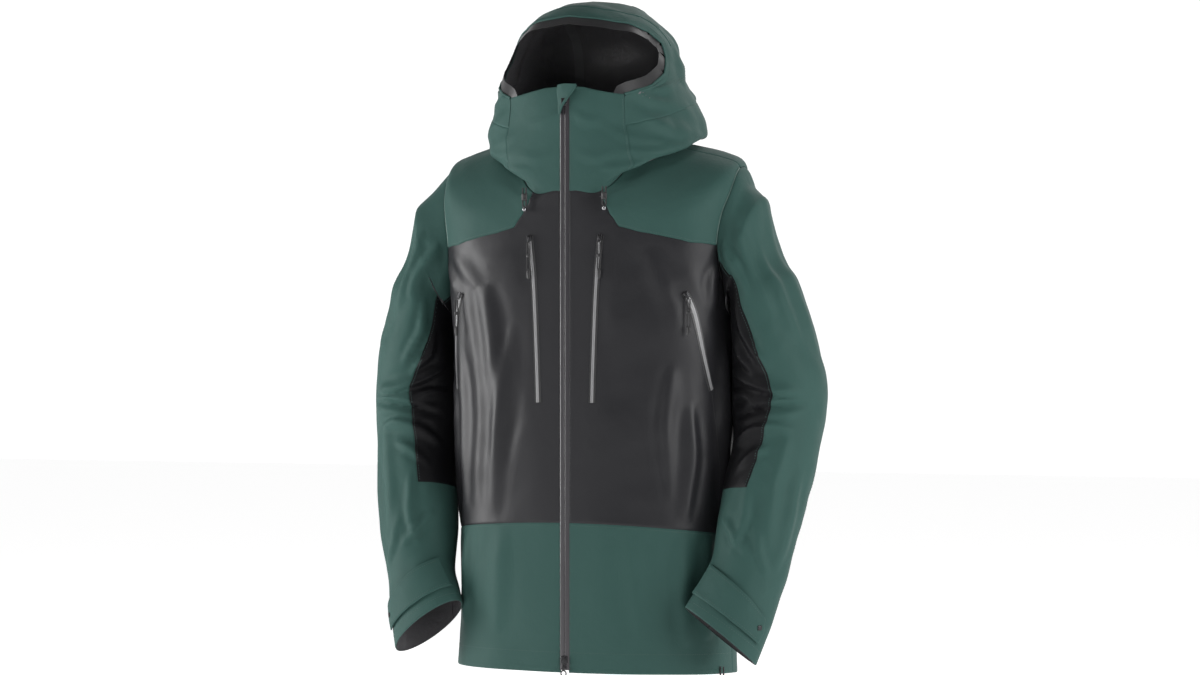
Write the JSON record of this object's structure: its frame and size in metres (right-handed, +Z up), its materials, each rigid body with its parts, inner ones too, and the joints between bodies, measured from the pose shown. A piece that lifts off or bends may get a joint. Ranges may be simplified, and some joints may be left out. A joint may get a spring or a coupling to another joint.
{
  "type": "hardshell jacket",
  "caption": "Hooded waterproof shell jacket with a full front zip, chest and hand pockets, and cuff tabs, shaped as worn.",
  "frame": {"origin": "the hanger loop at the inside of the back neck", "axes": "+Z up along the back, -Y out of the chest, +X towards the wearer's left"},
  "size_m": [0.722, 0.2977, 1.0169],
  "materials": {
    "shell_green": "matt three-layer face fabric, dark green",
    "shell_black": "satin three-layer face fabric, black",
    "pocket_lining": "thin knitted mesh",
    "zip_tape": "laminated water-resistant tape over a nylon coil",
    "slider_metal": "black lacquered zinc",
    "cord_black": "braided cord and webbing",
    "grip_plastic": "moulded, satin"
  },
  "bodies": {
    "torso": {"back_hem": "shell_green", "back_panel": "shell_black", "back_yoke": "shell_green", "chest_pocket_bag_left": "pocket_lining", "chest_pocket_bag_right": "pocket_lining", "chest_zip_left": "zip_tape", "chest_zip_right": "zip_tape", "chin_guard_left": "shell_green", "chin_guard_right": "shell_green", "front_chest_left": "shell_black", "front_chest_right": "shell_black", "front_hem_left": "shell_green", "front_hem_right": "shell_green", "front_yoke_left": "shell_green", "front_yoke_right": "shell_green", "hand_pocket_bag_left": "pocket_lining", "hand_pocket_bag_right": "pocket_lining", "hand_zip_left": "zip_tape", "hand_zip_right": "zip_tape", "hanger_loop": "cord_black", "hood_base": "shell_green", "main_zip_left": "zip_tape", "main_zip_right": "zip_tape", "zip_garage": "shell_green"},
    "sleeve_right": {"sleeve_upper_right": "shell_green", "sleeve_under_right": "shell_black"},
    "forearm_right": {"forearm_right": "shell_green", "forearm_under_right": "shell_black"},
    "cuff_tab_right": {"cuff_tab_right": "shell_green"},
    "hood_cord_right": {"hood_cord_right": "cord_black", "hood_cord_end_right": "slider_metal"},
    "chest_slider_right": {"chest_slider_right": "slider_metal"},
    "chest_pull_right": {"chest_pull_cord_right": "cord_black", "chest_pull_grip_right": "grip_plastic"},
    "hand_slider_right": {"hand_slider_right": "slider_metal"},
    "hand_pull_right": {"hand_pull_cord_right": "cord_black", "hand_pull_grip_right": "grip_plastic"},
    "sleeve_left": {"sleeve_upper_left": "shell_green", "sleeve_under_left": "shell_black"},
    "forearm_left": {"forearm_left": "shell_green", "forearm_under_left": "shell_black"},
    "cuff_tab_left": {"cuff_tab_left": "shell_green"},
    "hood_cord_left": {"hood_cord_left": "cord_black", "hood_cord_end_left": "slider_metal"},
    "chest_slider_left": {"chest_slider_left": "slider_metal"},
    "chest_pull_left": {"chest_pull_cord_left": "cord_black", "chest_pull_grip_left": "grip_plastic"},
    "hand_slider_left": {"hand_slider_left": "slider_metal"},
    "hand_pull_left": {"hand_pull_cord_left": "cord_black", "hand_pull_grip_left": "grip_plastic"},
    "hood": {"hood_brim": "shell_green", "hood_centre": "shell_green", "hood_side_right": "shell_green", "hood_side_left": "shell_green"},
    "main_slider_bottom": {"main_slider_bottom": "slider_metal"},
    "main_slider_top": {"main_slider_top": "slider_metal"},
    "main_pull": {"main_pull": "slider_metal"},
    "hem_cord": {"hem_cord": "cord_black", "hem_ring": "slider_metal"}
  },
  "joints": [
    {"name": "main_zip_bottom_slide", "type": "slide", "parent": "torso", "child": "main_slider_bottom", "axis": [0, 0, 1], "range_m": [0, 0.74]},
    {"name": "main_pull_swing", "type": "hinge", "parent": "main_slider_bottom", "child": "main_pull", "pos_m": [0, -0.2055, -0.7565], "axis": [-1, 0, 0], "range_deg": [0, 120]},
    {"name": "main_zip_top_slide", "type": "slide", "parent": "torso", "child": "main_slider_top", "axis": [0, 0, -1], "range_m": [0, 0.74]},
    {"name": "hood_tip_back", "type": "hinge", "parent": "torso", "child": "hood", "pos_m": [0, 0.0885, 0.0845], "axis": [-1, 0, 0], "range_deg": [0, 95]},
    {"name": "sleeve_raise_right", "type": "hinge", "parent": "torso", "child": "sleeve_right", "pos_m": [-0.228, -0.075, -0.031], "axis": [0, 1, 0], "range_deg": [0, 60]},
    {"name": "elbow_bend_right", "type": "hinge", "parent": "sleeve_right", "child": "forearm_right", "pos_m": [-0.292, -0.105, -0.3655], "axis": [-1, 0, 0], "range_deg": [0, 35]},
    {"name": "cuff_tab_peel_right", "type": "hinge", "parent": "forearm_right", "child": "cuff_tab_right", "pos_m": [-0.3078, -0.15, -0.64229], "axis": [0.2609, -0.2992, -0.9178], "range_deg": [0, 90]},
    {"name": "chest_zip_slide_right", "type": "slide", "parent": "torso", "child": "chest_slider_right", "axis": [0.0543, -0.0013, -0.9985], "range_m": [0, 0.21]},
    {"name": "chest_pull_swing_right", "type": "hinge", "parent": "chest_slider_right", "child": "chest_pull_right", "pos_m": [-0.0547, -0.20606, -0.1425], "axis": [-1, 0, 0], "range_deg": [0, 80]},
    {"name": "hand_zip_slide_right", "type": "slide", "parent": "torso", "child": "hand_slider_right", "axis": [-0.229, 0.262, -0.9375], "range_m": [0, 0.045]},
    {"name": "hand_pull_swing_right", "type": "hinge", "parent": "hand_slider_right", "child": "hand_pull_right", "pos_m": [-0.18056, -0.17454, -0.2257], "axis": [-0.8276, 0.5614, 0], "range_deg": [0, 60]},
    {"name": "hood_cord_swing_right", "type": "hinge", "parent": "torso", "child": "hood_cord_right", "pos_m": [-0.062, -0.2036, -0.062], "axis": [-1, 0, 0], "range_deg": [0, 80]},
    {"name": "sleeve_raise_left", "type": "hinge", "parent": "torso", "child": "sleeve_left", "pos_m": [0.228, -0.075, -0.031], "axis": [0, -1, 0], "range_deg": [0, 60]},
    {"name": "elbow_bend_left", "type": "hinge", "parent": "sleeve_left", "child": "forearm_left", "pos_m": [0.292, -0.105, -0.3655], "axis": [-1, 0, 0], "range_deg": [0, 35]},
    {"name": "cuff_tab_peel_left", "type": "hinge", "parent": "forearm_left", "child": "cuff_tab_left", "pos_m": [0.3078, -0.15, -0.64229], "axis": [0.2609, 0.2992, 0.9178], "range_deg": [0, 90]},
    {"name": "chest_zip_slide_left", "type": "slide", "parent": "torso", "child": "chest_slider_left", "axis": [-0.0543, -0.0013, -0.9985], "range_m": [0, 0.21]},
    {"name": "chest_pull_swing_left", "type": "hinge", "parent": "chest_slider_left", "child": "chest_pull_left", "pos_m": [0.0547, -0.20606, -0.1425], "axis": [-1, 0, 0], "range_deg": [0, 80]},
    {"name": "hand_zip_slide_left", "type": "slide", "parent": "torso", "child": "hand_slider_left", "axis": [0.229, 0.262, -0.9375], "range_m": [0, 0.045]},
    {"name": "hand_pull_swing_left", "type": "hinge", "parent": "hand_slider_left", "child": "hand_pull_left", "pos_m": [0.18056, -0.17454, -0.2257], "axis": [-0.8276, -0.5614, 0], "range_deg": [0, 60]},
    {"name": "hood_cord_swing_left", "type": "hinge", "parent": "torso", "child": "hood_cord_left", "pos_m": [0.062, -0.2036, -0.062], "axis": [-1, 0, 0], "range_deg": [0, 80]},
    {"name": "hem_cord_swing", "type": "hinge", "parent": "torso", "child": "hem_cord", "pos_m": [0.21157, -0.11154, -0.76114], "axis": [-0.3084, -0.9513, 0], "range_deg": [0, 60]}
  ]
}
